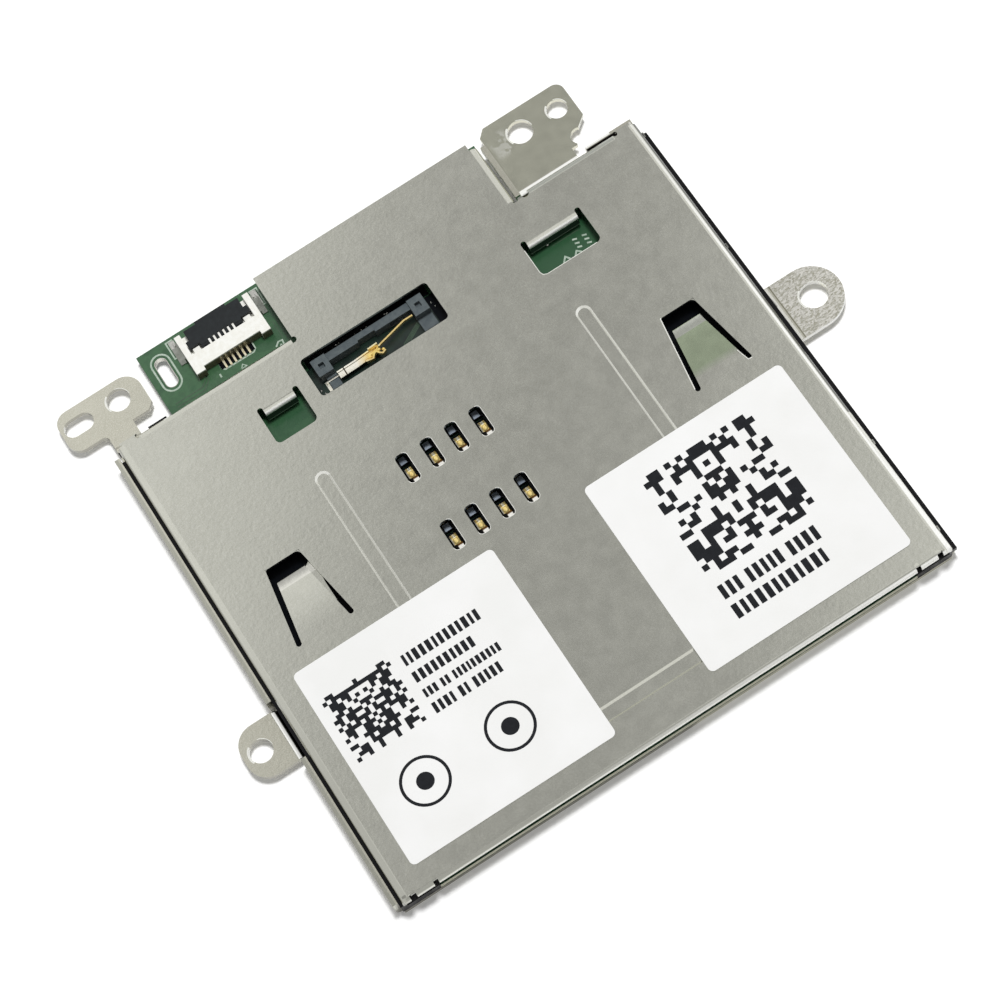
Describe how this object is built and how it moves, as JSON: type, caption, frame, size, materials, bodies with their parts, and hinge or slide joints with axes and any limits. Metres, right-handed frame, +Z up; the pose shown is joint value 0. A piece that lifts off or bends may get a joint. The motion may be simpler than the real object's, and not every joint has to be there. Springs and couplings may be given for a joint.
{
  "type": "smart card reader board",
  "caption": "Flat module of two folded sheets around a thin circuit board, with a card slot, sprung card contacts, a card switch, a flat-cable connector and screw ears.",
  "frame": {"origin": "on the underside, below the middle of the eight card contacts", "axes": "+X along the contact rows, +Y the way the card goes in, +Z up through the cover"},
  "size_m": [0.0666, 0.0587, 0.0033],
  "materials": {
    "cover_sheet": "satin nickel plated sheet, finely speckled",
    "frame_sheet": "zinc coated sheet with a soft mottle",
    "film": "thin amber insulating film",
    "board": "glass fibre board under green solder mask with pale print",
    "rail": "moulded black plastic, glossy",
    "contact_plastic": "moulded dark plastic",
    "switch_plastic": "moulded dark blue-grey plastic",
    "gold": "gold plated spring sheet, polished",
    "tin": "tin plated, with solder",
    "connector_plastic": "ivory moulded plastic",
    "latch_plastic": "black moulded plastic",
    "chip_plastic": "black moulded chip body",
    "crystal_can": "plated metal lid",
    "capacitor_body": "fired ceramic with tinned ends",
    "resistor_body": "dark coating with tinned ends",
    "label": "white satin label with printed blocks"
  },
  "bodies": {
    "reader": {"cover": "cover_sheet", "mounting_frame": "frame_sheet", "insulating_film": "film", "circuit_board": "board", "guide_rail_left": "rail", "guide_rail_right": "rail", "contact_block": "contact_plastic", "switch_body": "switch_plastic", "switch_terminal": "tin", "connector_housing": "connector_plastic", "connector_contact_1": "tin", "connector_contact_2": "tin", "connector_contact_3": "tin", "connector_contact_4": "tin", "connector_contact_5": "tin", "connector_contact_6": "tin", "connector_anchor_left": "tin", "connector_anchor_right": "tin", "controller_chip": "chip_plastic", "crystal": "crystal_can", "capacitor_1": "capacitor_body", "capacitor_2": "capacitor_body", "capacitor_3": "capacitor_body", "capacitor_4": "capacitor_body", "resistor_1": "resistor_body", "resistor_2": "resistor_body", "resistor_3": "resistor_body", "resistor_4": "resistor_body", "label_left": "label", "label_right": "label"},
    "latch": {"connector_latch": "latch_plastic"},
    "arm": {"switch_arm": "gold"},
    "contact_1": {"card_contact_1": "gold"},
    "contact_2": {"card_contact_2": "gold"},
    "contact_3": {"card_contact_3": "gold"},
    "contact_4": {"card_contact_4": "gold"},
    "contact_5": {"card_contact_5": "gold"},
    "contact_6": {"card_contact_6": "gold"},
    "contact_7": {"card_contact_7": "gold"},
    "contact_8": {"card_contact_8": "gold"}
  },
  "joints": [
    {"name": "latch_flip", "type": "hinge", "parent": "reader", "child": "latch", "pos_m": [-0.01095, 0.0254, 0.00205], "axis": [1, 0, 0], "range_deg": [0, 90]},
    {"name": "arm_push", "type": "hinge", "parent": "reader", "child": "arm", "pos_m": [-0.0046, 0.0158, 0.0018], "axis": [0, 0, 1], "range_deg": [0, 2.5], "stiffness_Nm_per_rad": 0.0043},
    {"name": "contact_1_press", "type": "hinge", "parent": "reader", "child": "contact_1", "pos_m": [-0.00381, -0.00129, 0.00126], "axis": [1, 0, 0], "range_deg": [-7.5, 0], "stiffness_Nm_per_rad": 0.0136},
    {"name": "contact_2_press", "type": "hinge", "parent": "reader", "child": "contact_2", "pos_m": [-0.00127, -0.00129, 0.00126], "axis": [1, 0, 0], "range_deg": [-7.5, 0], "stiffness_Nm_per_rad": 0.0136},
    {"name": "contact_3_press", "type": "hinge", "parent": "reader", "child": "contact_3", "pos_m": [0.00127, -0.00129, 0.00126], "axis": [1, 0, 0], "range_deg": [-7.5, 0], "stiffness_Nm_per_rad": 0.0136},
    {"name": "contact_4_press", "type": "hinge", "parent": "reader", "child": "contact_4", "pos_m": [0.00381, -0.00129, 0.00126], "axis": [1, 0, 0], "range_deg": [-7.5, 0], "stiffness_Nm_per_rad": 0.0136},
    {"name": "contact_5_press", "type": "hinge", "parent": "reader", "child": "contact_5", "pos_m": [-0.00381, -0.00891, 0.00126], "axis": [1, 0, 0], "range_deg": [-7.5, 0], "stiffness_Nm_per_rad": 0.0136},
    {"name": "contact_6_press", "type": "hinge", "parent": "reader", "child": "contact_6", "pos_m": [-0.00127, -0.00891, 0.00126], "axis": [1, 0, 0], "range_deg": [-7.5, 0], "stiffness_Nm_per_rad": 0.0136},
    {"name": "contact_7_press", "type": "hinge", "parent": "reader", "child": "contact_7", "pos_m": [0.00127, -0.00891, 0.00126], "axis": [1, 0, 0], "range_deg": [-7.5, 0], "stiffness_Nm_per_rad": 0.0136},
    {"name": "contact_8_press", "type": "hinge", "parent": "reader", "child": "contact_8", "pos_m": [0.00381, -0.00891, 0.00126], "axis": [1, 0, 0], "range_deg": [-7.5, 0], "stiffness_Nm_per_rad": 0.0136}
  ]
}
